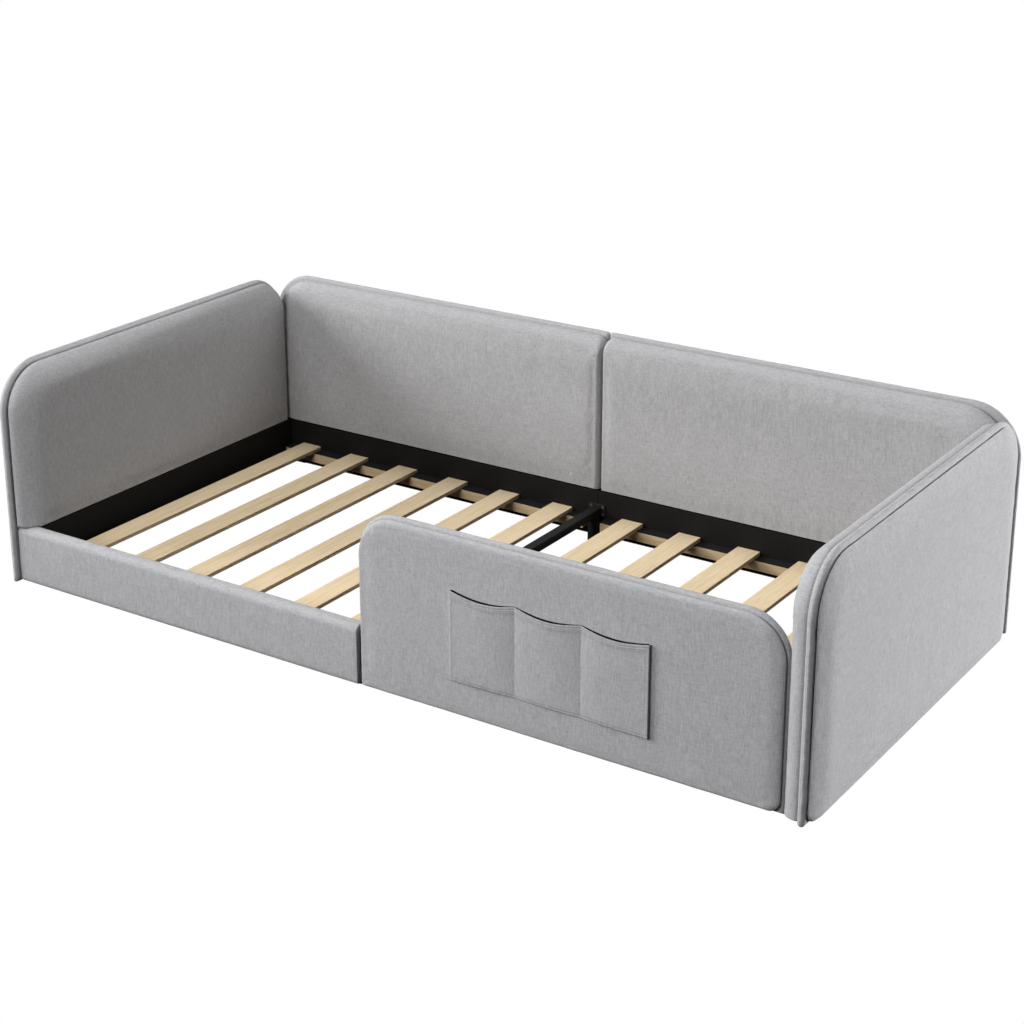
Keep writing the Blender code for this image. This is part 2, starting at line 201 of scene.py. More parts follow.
def linen(name, dark, middle, light):
    """Heathered linen-look weave: long slubs up and along the cloth, over a fine thread bump."""
    material, nodes, links = new_material(name)
    upright = object_noise(nodes, links, (480.0, 480.0, 60.0), 2.0, 0.6)
    along = object_noise(nodes, links, (75.0, 75.0, 520.0), 2.0, 0.6)
    cloudy = object_noise(nodes, links, (24.0, 24.0, 14.0), 2.0)
    threads = object_noise(nodes, links, (1100.0, 1100.0, 1100.0), 1.0)
    slubs = maths(nodes, links, "ADD", upright, maths(nodes, links, "MULTIPLY", along, 0.75))
    slubs = maths(nodes, links, "MULTIPLY", slubs, 0.571)
    stops = [(0.34, grey(dark)), (0.50, grey(middle)), (0.66, grey(light))]
    colour = ramp(nodes, links, slubs, stops)
    shade = ramp(nodes, links, cloudy, [(0.3, grey(0.955)), (0.7, grey(1.0))])
    colour = blend(nodes, links, colour, shade, 1.0, "MULTIPLY")
    specks = ramp(nodes, links, threads, [(0.3, grey(0.86)), (0.7, grey(1.0))])
    colour = blend(nodes, links, colour, specks, 1.0, "MULTIPLY")
    links.new(colour, principled(nodes).inputs["Base Color"])
    shader = principled(nodes)
    shader.inputs["Roughness"].default_value = 0.95
    shader.inputs["Specular IOR Level"].default_value = 0.15
    shader.inputs["Sheen Weight"].default_value = 0.12
    shader.inputs["Sheen Roughness"].default_value = 0.6
    height = maths(nodes, links, "ADD", slubs, maths(nodes, links, "MULTIPLY", threads, 0.5))
    bump(nodes, links, height, 0.0006, 0.55)
    return material


def wood(name, pale, tan, streak, grain):
    """Lacquered birch, with the grain running along the axis that the scale stretches."""
    material, nodes, links = new_material(name)
    broad = object_noise(nodes, links, grain, 3.0, 0.55)
    fine = object_noise(nodes, links, tuple(6.0 * part for part in grain), 2.0, 0.6)
    colour = ramp(nodes, links, broad, [(0.28, tan), (0.55, pale), (0.8, tan)])
    lines = ramp(nodes, links, fine, [(0.36, streak), (0.56, (1.0, 1.0, 1.0))])
    colour = blend(nodes, links, colour, lines, 0.6, "MULTIPLY")
    links.new(colour, principled(nodes).inputs["Base Color"])
    shader = principled(nodes)
    shader.inputs["Roughness"].default_value = 0.55
    shader.inputs["Specular IOR Level"].default_value = 0.3
    bump(nodes, links, fine, 0.0002, 0.5)
    return material


def plywood_edge(name):
    """Sawn edge of a laminated slat: brown, with thin darker glue lines between the layers."""
    material, nodes, links = new_material(name)
    layers = object_noise(nodes, links, (6.0, 6.0, 620.0), 1.0)
    fibre = object_noise(nodes, links, (260.0, 18.0, 260.0), 3.0)
    stops = [(0.36, (0.40, 0.27, 0.15)), (0.5, (0.66, 0.49, 0.30)), (0.66, (0.74, 0.58, 0.38))]
    colour = ramp(nodes, links, layers, stops)
    wear = ramp(nodes, links, fibre, [(0.3, (0.75, 0.72, 0.7)), (0.7, (1.0, 1.0, 1.0))])
    colour = blend(nodes, links, colour, wear, 1.0, "MULTIPLY")
    links.new(colour, principled(nodes).inputs["Base Color"])
    principled(nodes).inputs["Roughness"].default_value = 0.8
    bump(nodes, links, layers, 0.0002, 0.6)
    return material


def black_surface(name, dark, light, roughness, specular, scale, depth):
    """A near-black finish with a faint mottle and texture."""
    material, nodes, links = new_material(name)
    mottle = object_noise(nodes, links, scale, 3.0, 0.6)
    links.new(ramp(nodes, links, mottle, [(0.3, dark), (0.7, light)]), principled(nodes).inputs["Base Color"])
    shader = principled(nodes)
    shader.inputs["Roughness"].default_value = roughness
    shader.inputs["Specular IOR Level"].default_value = specular
    bump(nodes, links, mottle, depth, 0.5)
    return material


FABRIC = linen("grey_linen", 0.345, 0.43, 0.515)
THREAD = linen("sewing_thread", 0.28, 0.34, 0.40)
SLAT_FACE = wood("birch_face", (0.87, 0.715, 0.485), (0.76, 0.595, 0.375), (0.84, 0.76, 0.66), (120.0, 4.0, 120.0))
LEDGER_FACE = wood("birch_batten", (0.72, 0.55, 0.34), (0.60, 0.43, 0.24), (0.80, 0.72, 0.62), (4.0, 120.0, 120.0))
SLAT_EDGE = plywood_edge("birch_edge")
BOARD = black_surface("black_board", (0.006, 0.0055, 0.005), (0.010, 0.009, 0.0085), 0.7, 0.15, (300.0, 300.0, 300.0), 0.0001)
FELT = black_surface("charcoal_felt", (0.012, 0.012, 0.013), (0.026, 0.026, 0.028), 1.0, 0.05, (900.0, 900.0, 900.0), 0.0005)
STEEL = black_surface("black_powder_coat", (0.009, 0.009, 0.0092), (0.015, 0.015, 0.0152), 0.6, 0.22, (1500.0, 1500.0, 1500.0), 0.0001)
PLASTIC = black_surface("black_plastic", (0.014, 0.014, 0.014), (0.02, 0.02, 0.02), 0.5, 0.3, (700.0, 700.0, 700.0), 0.0001)
# Near-black cloth that stands in for shade: painted shade in the pads' seam grooves and in the pockets' openings.
SHADE_CLOTH = black_surface("painted_shade_cloth", (0.008, 0.008, 0.008), (0.016, 0.016, 0.016), 1.0, 0.05, (800.0, 800.0, 800.0), 0.0003)
ZINC = black_surface("blackened_zinc", (0.05, 0.05, 0.052), (0.09, 0.09, 0.092), 0.4, 0.5, (500.0, 500.0, 500.0), 0.0001)
PADS = []


# ---------------------------------------------------------------- shape helpers

def rounded_ring(low, high, radii, insets):
    """Points round an upright rounded rectangle, pulled in by (left, bottom, right, top) insets.

    Radii go from the lower left corner, anticlockwise. Every ring has the same number of points in the
    same order, so that rings can be bridged.
    """
    left, bottom = low[0] + insets[0], low[1] + insets[1]
    right, top = high[0] - insets[2], high[1] - insets[3]
    room = min(right - left, top - bottom) / 2
    centres = ((left, bottom, 1, 1), (right, bottom, -1, 1), (right, top, -1, -1), (left, top, 1, -1))
    beside = ((0, 1), (2, 1), (2, 3), (0, 3))
    corners = []
    for index, ((x, y, inward_x, inward_y), radius) in enumerate(zip(centres, radii)):
        pulled = sum(insets[side] for side in beside[index]) / 2
        radius = min(max(radius - pulled, 0.6 * min(insets[side] for side in beside[index]), 0.001), room)
        middle = (x + inward_x * radius, y + inward_y * radius)
        start = 180 + 90 * index
        angles = [math.radians(start + 90 * step / ARC_STEPS) for step in range(ARC_STEPS + 1)]
        corners.append(
            [(middle[0] + radius * math.cos(angle), middle[1] + radius * math.sin(angle)) for angle in angles]
        )
    full_width, full_height = high[0] - low[0], high[1] - low[1]
    counts = [max(2, round(length / RING_STEP)) for length in (full_width, full_height) * 2]
    points = []
    for index, corner in enumerate(corners):
        points += corner
        start, end = corner[-1], corners[(index + 1) % 4][0]
        for step in range(1, counts[index]):
            along = step / counts[index]
            points.append((start[0] + (end[0] - start[0]) * along, start[1] + (end[1] - start[1]) * along))
    return points


def pucker(u, v, across, seed):
    """Small gathers beside a seam, fading away from it, over a slow unevenness of the stuffing."""
    fade = math.exp(-across / PUCKER_REACH)
    wave = noise.noise(Vector((u / PUCKER_LENGTH, v / PUCKER_LENGTH, seed * 7.3)))
    slow = noise.noise(Vector((u / 0.16, v / 0.16, seed * 3.1)))
    return PUCKER_DEPTH * (wave * fade * 1.3 + slow * 0.7)


def add_object(name, mesh, material, smooth=True):
    for polygon in mesh.polygons:
        polygon.use_smooth = smooth
    mesh.materials.append(material)
    obj = bpy.data.objects.new(name, mesh)
    bpy.context.scene.collection.objects.link(obj)
    return obj


def to_mesh(name, shape):
    bmesh.ops.recalc_face_normals(shape, faces=shape.faces)
    mesh = bpy.data.meshes.new(name)
    shape.to_mesh(mesh)
    shape.free()
    return mesh


def bridge(shape, rings, closed=True):
    """Quads between neighbouring rings, and a face on each end of a closed form."""
    for lower, upper in zip(rings, rings[1:]):
        for index in range(len(lower)):
            following = (index + 1) % len(lower)
            shape.faces.new((lower[index], lower[following], upper[following], upper[index]))
    if closed:
        shape.faces.new(reversed(rings[0]))
        shape.faces.new(rings[-1])


def ride(obj, slot, *nodes):
    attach(obj, "root")
    if nodes:
        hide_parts(*nodes)
    return obj


def ringed_solid(name, place, low, high, radii, sides, profile, seed, painted_shade_rings=0):
    """A closed upright form through rings of (inset, height), from its back to its face.

    place(u, v, h) turns the outline's coordinates and the height above the back into a point. sides are
    the shares of the inset that the left, bottom, right and top take. The first bands, as many as the ring
    count asks, take a near-black cloth round the rolled edge of the back: painted shade, which darkens the seam's
    groove.
    """
    shape = bmesh.new()
    rings = []
    for inset, height in profile:
        points = rounded_ring(low, high, radii, [inset * share for share in sides])
        lifted = height > profile[-1][1] * 0.3
        lifts = [pucker(u, v, inset, seed) if lifted else 0.0 for u, v in points]
        rings.append([shape.verts.new(place(u, v, height + lift)) for (u, v), lift in zip(points, lifts)])
    bridge(shape, rings)
    # Painted shade: the bands nearest the back take the near-black cloth, to darken the seam's groove.
    for face in list(shape.faces)[: painted_shade_rings * len(rings[0])]:
        face.material_index = 1
    # A ring's corners shrink towards the middle until their points crowd together, where one does.
    for ring in rings[len(rings) // 2 :]:
        bmesh.ops.remove_doubles(shape, verts=ring, dist=MERGE_DISTANCE)
    ends = [face for face in shape.faces if len(face.verts) > 4]
    bmesh.ops.triangulate(shape, faces=ends, quad_method="BEAUTY", ngon_method="BEAUTY")
    solid = add_object(name, to_mesh(name, shape), FABRIC)
    if painted_shade_rings:
        solid.data.materials.append(SHADE_CLOTH)
    return solid


def crown_rise(short, fullness, firm_edge):
    """Share of a crown's height, where `short` is how far inside its reach a point falls short of the top.

    A fullness of 2 makes a quarter ellipse, and 1 a parabola, which slopes further in. The firm edge's share
    of the height comes from a tight quarter round at the seam instead.
    """
    broad = (1 - short**2) ** (1 / fullness)
    tight = math.sqrt(1 - max(0.0, 1 - (1 - short) / FIRM_SPAN) ** 2)
    return firm_edge * tight + (1 - firm_edge) * broad


def pad_profile(thickness, reach, undercut, half_depth, fullness, firm_edge):
    """Rings of a pad: rolled under at its seam, then a broad crown towards its middle."""
    roll = max(thickness * ROLL_SHARE, LEAST_ROLL)
    top = thickness - CROWN
    rings = []
    for step in range(6):
        angle = math.radians(90 * step / 6)
        rings.append((undercut * (1 - math.sin(angle)), roll * (1 - math.cos(angle))))
    for step in range(15):
        short = math.cos(math.radians(90 * step / 14))
        rings.append((reach * (1 - short), roll + (top - roll) * crown_rise(short, fullness, firm_edge)))
    steps = max(4, round((half_depth - reach) / 0.018))
    for step in range(1, steps + 1):
        along = step / steps
        inset = reach + (half_depth - 0.010 - reach) * along
        rings.append((inset, top + CROWN * math.sin(math.radians(90 * along)) ** 2))
    return rings


def rim_profile(thickness):
    """Rings of a wrapped core board, whose edge is fully rounded."""
    radius = min(RIM_ROUND, thickness / 2)
    rings = [(0.030, 0.0), (radius * 2, 0.0)]
    for step in range(1, 9):
        angle = math.radians(90 * step / 8)
        rings.append((radius * (1 - math.sin(angle)), radius * (1 - math.cos(angle))))
    for step in range(9):
        angle = math.radians(90 * step / 8)
        rings.append((radius * (1 - math.cos(angle)), thickness - radius * (1 - math.sin(angle))))
    rings += [(radius * 2, thickness), (0.030, thickness)]
    return rings


def facing(axis, back, sign):
    """Places an outline in YZ or XZ, rising from the back along the axis, in the direction of sign."""
    if axis == "X":
        return lambda u, v, h: (back + sign * h, u, v)
    return lambda u, v, h: (u, back + sign * h, v)


def node_box(node):
    low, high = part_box(node)
    return Vector(low), Vector(high)


def cut_away(obj, low, high):
    """Takes a box out of a piece, for a neighbour that it is fitted round."""
    shape = bmesh.new()
    low, high = Vector(low), Vector(high)
    bmesh.ops.create_cube(shape, size=1.0)
    bmesh.ops.scale(shape, vec=high - low, verts=shape.verts)
    bmesh.ops.translate(shape, vec=(low + high) / 2, verts=shape.verts)
    cutter = bpy.data.objects.new("cutter", to_mesh("cutter", shape))
    bpy.context.scene.collection.objects.link(cutter)
    modifier = obj.modifiers.new("Cut", "BOOLEAN")
    modifier.operation = "DIFFERENCE"
    modifier.solver = "MANIFOLD"
    modifier.object = cutter
    bake_modifiers(obj)
    bpy.data.objects.remove(cutter, do_unlink=True)


def bake_modifiers(obj):
    evaluated = obj.evaluated_get(bpy.context.evaluated_depsgraph_get())
    mesh = bpy.data.meshes.new_from_object(evaluated)
    obj.modifiers.clear()
    old, obj.data = obj.data, mesh
    bpy.data.meshes.remove(old)


# ---------------------------------------------------------------- panels

def outline_of(axis, low, high):
    if axis == "X":
        return (low.y, low.z), (high.y, high.z)
    return (low.x, low.z), (high.x, high.z)


def settle_pads():
    """Cloth simulation: a little air pressure swells each pad and gathers its fabric beside the seam."""
    scene = bpy.context.scene
    for pad in PADS:
        hold_seam(pad)
        modifier = pad.modifiers.new("Cloth", "CLOTH")
        settings = modifier.settings
        settings.quality = CLOTH_QUALITY
        settings.mass = CLOTH_MASS
        settings.tension_stiffness = CLOTH_TENSION
        settings.compression_stiffness = CLOTH_TENSION
        settings.shear_stiffness = CLOTH_SHEAR
        settings.bending_stiffness = CLOTH_BENDING
        settings.vertex_group_mass = HELD
        settings.pin_stiffness = 1.0
        settings.use_pressure = True
        settings.uniform_pressure_force = CLOTH_PRESSURE
        settings.shrink_min = CLOTH_SLACK
        settings.effector_weights.gravity = 0.0
        modifier.point_cache.frame_start = 1
        modifier.point_cache.frame_end = CLOTH_FRAMES
    for number in range(1, CLOTH_FRAMES + 1):
        scene.frame_set(number)
    for pad in PADS:
        take_simulated_shape(pad)
    scene.frame_set(1)


def share_between(value, start, end):
    return min(max((value - start) / (end - start), 0.0), 1.0)


def hold_seam(pad):
    """Holds a pad's back, its rolled seam and its outline, and frees its face away from them."""
    held = pad.vertex_groups.new(name=HELD)
    axis, sign = pad["rises_along"], pad["rises_towards"]
    corners = [Vector(corner) for corner in pad.bound_box]
    low = Vector(map(min, *corners))
    high = Vector(map(max, *corners))
    for vert in pad.data.vertices:
        height = (vert.co[axis] - low[axis]) / (high[axis] - low[axis])
        height = height if sign > 0 else 1 - height
        across = [part for part in range(3) if part != axis]
        inside = min(min(vert.co[part] - low[part], high[part] - vert.co[part]) for part in across)
        free = min(share_between(height, HELD_BELOW, FREE_ABOVE), share_between(inside, HELD_EDGE, FREE_INSIDE))
        held.add([vert.index], 1 - free, "REPLACE")


def take_simulated_shape(pad):
    """Keeps the simulated shape as the pad's own, with every move softly limited."""
    evaluated = pad.evaluated_get(bpy.context.evaluated_depsgraph_get())
    for vert, moved in zip(pad.data.vertices, evaluated.data.vertices):
        move = moved.co - vert.co
        if move.length > 0.0:
            vert.co += move.normalized() * pad["most_move"] * math.tanh(move.length / pad["most_move"])
    pad.modifiers.clear()
    pad.vertex_groups.clear()


def span_of(axis, low, high):
    return (low.x, high.x) if axis == "X" else (low.y, high.y)


def make_rim(node, axis, radii, seed):
    """The wrapped core board that shows as a rounded border round the pads."""
    low, high = node_box(node)
    near, far = span_of(axis, low, high)
    place = facing(axis, near, 1)
    sides = (1, 1, 1, 1)
    profile = rim_profile(far - near)
    rim = ringed_solid("wrapped_" + node, place, *outline_of(axis, low, high), radii, sides, profile, seed)
    ride(rim, "grey_fabric", node)


def make_pad(
    node,
    axis,
    sign,
    radii,
    reach,
    sides,
    undercut,
    seed,
    low_z=None,
    fullness=2.0,
    firm_edge=0.0,
    most_move=MOST_MOVE,
    painted_shade_rings=0,
):
    """A crowned pad on one face of a board. It rises along the axis, in the direction of sign."""
    low, high = node_box(node)
    low.z = low.z if low_z is None else low_z
    near, far = span_of(axis, low, high)
    place = facing(axis, near if sign > 0 else far, sign)
    outline = outline_of(axis, low, high)
    width, height = outline[1][0] - outline[0][0], outline[1][1] - outline[0][1]
    half = min(width / (sides[0] + sides[2]), height / (sides[1] + sides[3]))
    thickness = far - near
    profile = pad_profile(thickness, reach, undercut, half, fullness, firm_edge)
    pad = ringed_solid("soft_" + node, place, *outline, radii, sides, profile, seed, painted_shade_rings)
    ride(pad, "grey_fabric", node)
    pad["rises_along"] = "XY".index(axis)
    pad["rises_towards"] = sign
    pad["most_move"] = most_move
    PADS.append(pad)
    return pad


def square_foot(corner_left, corner_right, foot_left=SQUARE, foot_right=SQUARE):
    """Corner radii, nearly square below: lower left, lower right, upper right, upper left."""
    return (foot_left, foot_right, corner_right, corner_left)


def make_end_panels():
    """End panels. An end pad's outline runs from the front to the back, so its left side is the front."""
    both = square_foot(PANEL_CORNER, PANEL_CORNER)
    pads = square_foot(PAD_CORNER, PAD_CORNER, PAD_FOOT, PAD_FOOT)
    for seed, (side, sign) in enumerate((("left", -1), ("right", 1))):
        make_rim(side + "_core_board", "X", both, seed)
        make_pad(side + "_outer_pad", "X", sign, pads, OUTER_REACH, (1.0, 0.12, 1.0, 1.0), OUTER_UNDERCUT, seed + 10, fullness=THIN_FULLNESS, most_move=OUTER_MOVE, painted_shade_rings=SEAM_RINGS)
    inner = square_foot(PAD_CORNER, PAD_CORNER * 0.6)
    shares = (1.0, 0.08, 0.25, 1.0)
    seam_z = node_box("inner_rail_left")[1].z + CLEAR
    make_pad("left_inner_pad", "X", 1, inner, SIDE_REACH, shares, OUTER_UNDERCUT, 20, low_z=seam_z, painted_shade_rings=SEAM_RINGS)
    make_pad("right_inner_pad", "X", -1, inner, SIDE_REACH, shares, INNER_UNDERCUT, 21)


def fit_end_pads():
    """Cuts the inner pads round the step rail, the inner rail and the guard, which they are fitted to."""
    left, right = bpy.data.objects["soft_left_inner_pad"], bpy.data.objects["soft_right_inner_pad"]
    rail_low, rail_high = node_box("inner_rail_right")
    step_low, step_high = node_box("step_rail_cover")
    past = 0.1
    cut_away(left, step_low - Vector((past, past, 0)), step_high + Vector((past, CLEAR, CLEAR)))
    beyond = Vector((past, past, CLEAR))
    cut_away(right, rail_low - Vector((past, CLEAR, past)), rail_high + beyond)
    guard_low, guard_high = node_box("guard_core_board")
    cut_away(right, guard_low - Vector((past, past, past)), guard_high + Vector((CLEAR, 0.006, CLEAR * 4)))


def make_back_panel():
    for seed, (side, core, pads) in enumerate(
        (
            ("left", square_foot(PANEL_CORNER, SEAM_CORE_CORNER), square_foot(PAD_CORNER, SEAM_PAD_CORNER)),
            ("right", square_foot(SEAM_CORE_CORNER, PANEL_CORNER), square_foot(SEAM_PAD_CORNER, PAD_CORNER)),
        )
    ):
        outer, seam = 0.8, 0.22
        shares = (outer, 0.08, seam, 1.0) if side == "left" else (seam, 0.08, outer, 1.0)
        behind = (0.6, 0.12, 0.6, 0.6)
        make_rim("back_core_board_" + side, "Y", core, seed + 30)
        make_pad("back_inner_pad_" + side, "Y", -1, pads, SIDE_REACH, shares, INNER_UNDERCUT, seed + 40)
        make_pad("back_outer_pad_" + side, "Y", 1, pads, OUTER_REACH, behind, OUTER_UNDERCUT, seed + 50, fullness=THIN_FULLNESS, most_move=OUTER_MOVE, painted_shade_rings=SEAM_RINGS)


def make_guard():
    make_rim("guard_core_board", "Y", square_foot(GUARD_CORNER, GUARD_CORNER), 60)
    pads = square_foot(GUARD_PAD_CORNER, GUARD_PAD_CORNER, SQUARE, PAD_FOOT)
    make_pad("guard_front_pad", "Y", -1, pads, GUARD_REACH, (0.15, 0.30, 1.0, 0.5), INNER_UNDERCUT, 61, fullness=THIN_FULLNESS, firm_edge=GUARD_FIRMNESS, most_move=GUARD_MOVE, painted_shade_rings=SEAM_RINGS)
    make_pad("guard_inner_pad", "Y", 1, pads, GUARD_INNER_REACH, (1.0, 0.2, 1.0, 1.0), INNER_UNDERCUT, 62, most_move=GUARD_MOVE)


def step_cover_section(low, high, board_top, rail_top, board_back, liner_front, pull):
    """Cross-section (y, z) of the step rail's cover, with its outer faces pulled in by `pull`."""
    front, back, top = low.y + pull, high.y - pull * 0.3, high.z - pull
    foot = low.z + 0.001
    nose = 0.016
    points = [(board_back, foot), (front + 0.004, foot), (front + 0.001, foot + 0.003), (front, foot + 0.010)]
    points += [(front, foot + (top - nose - foot) * part) for part in (0.25, 0.5, 0.75)]
    for step in range(9):
        angle = math.radians(180 - 90 * step / 8)
        points.append((front + nose + nose * math.cos(angle), top - nose + nose * math.sin(angle)))
    heel = 0.011
    for step in range(1, 9):
        angle = math.radians(90 - 90 * step / 8)
        drop = min(heel, top - rail_top)
        points.append((back - heel + heel * math.cos(angle), top - drop + drop * math.sin(angle)))
    points += [(liner_front, rail_top), (liner_front, board_top), (board_back, board_top)]
    return points


def make_step_rail():
    """The low front rail's cover: a soft nose over the board, closed and rounded at both ends."""
    low, high = node_box("step_rail_cover")
    board_low, board_high = node_box("step_rail_board")
    rail_top = node_box("inner_rail_front_left")[1].z + CLEAR
    board_back, liner_front = board_low.y - CLEAR, board_high.y - CLEAR
    length = high.x - low.x
    stations = [STEP_END_ROUND * (1 - math.cos(math.radians(90 * step / 6))) for step in range(6)]
    steps = round((length - STEP_END_ROUND - STEP_GUARD_ROUND) / RING_STEP)
    middle = spaced(STEP_END_ROUND, length - STEP_GUARD_ROUND, (length - STEP_END_ROUND - STEP_GUARD_ROUND) / steps)
    last = [STEP_GUARD_ROUND * (1 - math.cos(math.radians(90 * step / 6))) for step in range(6)]
    stations = stations + middle + [length - station for station in reversed(last)]
    shape = bmesh.new()
    rings = []
    for station in stations:
        end_round = STEP_END_ROUND if station < length / 2 else STEP_GUARD_ROUND
        near_end = max(0.0, end_round - min(station, length - station))
        pull = end_round - math.sqrt(max(end_round**2 - near_end**2, 0.0))
        section = step_cover_section(
            low, high, board_high.z + CLEAR, rail_top, board_back, liner_front, pull * 0.8
        )
        sway = noise.noise(Vector((station / 0.16, 1.7, 0.0))) * 0.0006
        rings.append([shape.verts.new((low.x + station, y + sway, z)) for y, z in section])
    bridge(shape, rings)
    cover = add_object("soft_step_rail_cover", to_mesh("soft_step_rail_cover", shape), FABRIC)
    ride(cover, "grey_fabric", "step_rail_cover")


# ---------------------------------------------------------------- pockets

class PocketCloth:
    """The pocket panel's surface: (x, depth from its back, z) for distances from its left and its top."""

    def __init__(self):
        self.low, self.high = node_box("pocket_panel")
        self.width = self.high.x - self.low.x
        self.pocket = self.width / POCKETS
        self.depth = self.high.y - self.low.y

    def top(self, along):
        place = (along / self.pocket) % 1.0 if along < self.width else 1.0
        return self.high.z - POCKET_SAG * math.sin(math.pi * place)

    def offset(self, along, rise):
        """How far the cloth stands off the guard. It is sewn down at the seams, and bellies between them."""
        place = min(along / self.pocket, POCKETS - 1e-6)
        inside = place - int(place)
        full = rise**0.7
        edge = min(along, self.width - along)
        # The outer edges stand on a narrow side wall, and the seams between pockets are sewn down low.
        stand = SEAM_STAND
        if edge < self.pocket:
            share = inside if along < self.width / 2 else 1 - inside
            stand = EDGE_STAND + (SEAM_STAND - EDGE_STAND) * share
        belly = math.sin(math.pi * inside) ** 0.8
        reach = (self.depth - 0.0002 - stand) * (0.45 + 0.55 * full)
        return stand + reach * belly

    def point(self, along, drop, lift=0.0):
        top = self.top(along)
        z = top - drop
        rise = (z - self.low.z) / (top - self.low.z)
        return Vector((self.low.x + along, self.high.y - self.offset(along, rise) - lift, z))


def spaced(start, end, step):
    count = max(1, round((end - start) / step))
    return [start + (end - start) * index / count for index in range(count + 1)]


def make_pocket_cloth(cloth):
    """One cloth with folded hems, turned back to the guard at its sides and its foot."""
    seams = [cloth.pocket * index for index in range(POCKETS + 1)]
    columns = []
    for start, end in zip(seams, seams[1:]):
        columns += [start, start + 0.0012] + spaced(start + 0.004, end - 0.004, 0.0075) + [end - 0.0012]
    columns.append(seams[-1])
    height = cloth.high.z - POCKET_SAG - cloth.low.z
    rows = [0.0, 0.0010, 0.0030, 0.0048, 0.0055, 0.0062, 0.0080, 0.0094, 0.0101, 0.0108, HEM, HEM + 0.0012]
    rows += spaced(HEM + 0.008, height - 0.010, 0.0085) + [height - 0.0060, height - 0.0050, height - 0.0040]
    rows.append(height - 0.001)
    shape = bmesh.new()
    grid = []
    for row in rows:
        line = []
        for along in columns:
            # The rows below the hem share out what is left of the cloth, which is longer at the seams.
            drop = row if row <= HEM else HEM + (row - HEM) * (
                (cloth.top(along) - cloth.low.z - HEM) / (height - HEM)
            )
            in_hem = row <= HEM or along < HEM * 0.7 or along > cloth.width - HEM * 0.7
            stitched = any(abs(row - line_at) < 0.0004 for line_at in (0.0055, 0.0101, height - 0.0050))
            lift = (0.0005 if in_hem else 0.0) - (0.0007 if stitched else 0.0)
            line.append(shape.verts.new(cloth.point(along, drop, lift)))
        grid.append(line)
    back = cloth.high.y
    foot = []
    for vert in grid[-1]:
        foot.append(shape.verts.new((vert.co.x, back, cloth.low.z + 0.0002)))
    grid.append(foot)
    for line in grid:
        first, last = line[0], line[-1]
        line.insert(0, shape.verts.new((first.co.x + 0.0002, back, first.co.z)))
        line.append(shape.verts.new((last.co.x - 0.0002, back, last.co.z)))
    for upper, lower in zip(grid, grid[1:]):
        for index in range(len(upper) - 1):
            shape.faces.new((upper[index], lower[index], lower[index + 1], upper[index + 1]))
    panel = add_object("sewn_pocket_panel", to_mesh("sewn_pocket_panel", shape), FABRIC)
    thicken = panel.modifiers.new("Cloth thickness", "SOLIDIFY")
    thicken.thickness = CLOTH
    thicken.offset = -1.0
    bake_modifiers(panel)
    return panel


def add_stitch(shape, start, end, outward):
    """One stitch: a short thread that dips into the cloth at both ends."""
    along = (end - start).normalized()
    side = along.cross(outward).normalized()
    rings = []
    for share, size, lift in ((0.0, 0.35, -0.5), (0.2, 0.9, 0.35), (0.5, 1.0, 0.75), (0.8, 0.9, 0.35), (1.0, 0.35, -0.5)):
        middle = start.lerp(end, share) + outward * STITCH_RADIUS * lift
        ring = []
        for corner in range(6):
            angle = math.radians(60 * corner)
            spread = side * math.cos(angle) + outward * math.sin(angle)
            ring.append(shape.verts.new(middle + spread * STITCH_RADIUS * size))
        rings.append(ring)
    bridge(shape, rings)


def sew(shape, point_at, length):
    """A row of stitches along point_at(distance)."""
    pitch = STITCH_LENGTH + STITCH_GAP
    for number in range(int(length / pitch)):
        start = number * pitch + STITCH_GAP / 2
        add_stitch(shape, point_at(start), point_at(start + STITCH_LENGTH), Vector((0, -1, 0)))


def make_pocket_shade_sheet(cloth):
    """A near-black sheet inside the pockets: painted shade, which shows as a thin dark line above their dipped
    edges.
    """
    shape = bmesh.new()
    lines = []
    for along in spaced(SHADE_SHEET_MARGIN, cloth.width - SHADE_SHEET_MARGIN, 0.003):
        top = cloth.top(along) + SHADE_SHEET_SHOWS
        x = cloth.low.x + along
        face = cloth.high.y - SHADE_SHEET_STAND
        heights = (top, top - SHADE_SHEET_DEPTH)
        lines.append([shape.verts.new((x, face, z)) for z in heights])
    for line, following in zip(lines, lines[1:]):
        shape.faces.new((line[0], line[1], following[1], following[0]))
    shade_sheet = add_object("pocket_painted_shade", to_mesh("pocket_painted_shade", shape), SHADE_CLOTH)
    thicken = shade_sheet.modifiers.new("Cloth thickness", "SOLIDIFY")
    thicken.thickness = SHADE_SHEET_THICKNESS
    thicken.offset = 0.0
    bake_modifiers(shade_sheet)
    return ride(shade_sheet, "grey_fabric")


def make_pockets():
    cloth = PocketCloth()
    panel = make_pocket_cloth(cloth)
    shade_sheet = make_pocket_shade_sheet(cloth)
    ride(panel, "grey_fabric", "pocket_panel")
    shape = bmesh.new()
    height = cloth.high.z - cloth.low.z
    for drop in (0.0055, 0.0101):
        sew(shape, lambda along, drop=drop: cloth.point(along, drop), cloth.width)
    sew(shape, lambda along: cloth.point(along, cloth.top(along) - cloth.low.z - 0.0050), cloth.width)
    for along in (0.0055, cloth.width - 0.0085):
        sew(shape, lambda drop, along=along: cloth.point(along, drop + 0.012, 0.0002), height - 0.020)
    stitches = add_object("pocket_stitching", to_mesh("pocket_stitching", shape), THREAD)
    ride(stitches, "grey_fabric")


# ---------------------------------------------------------------- slats and hardware

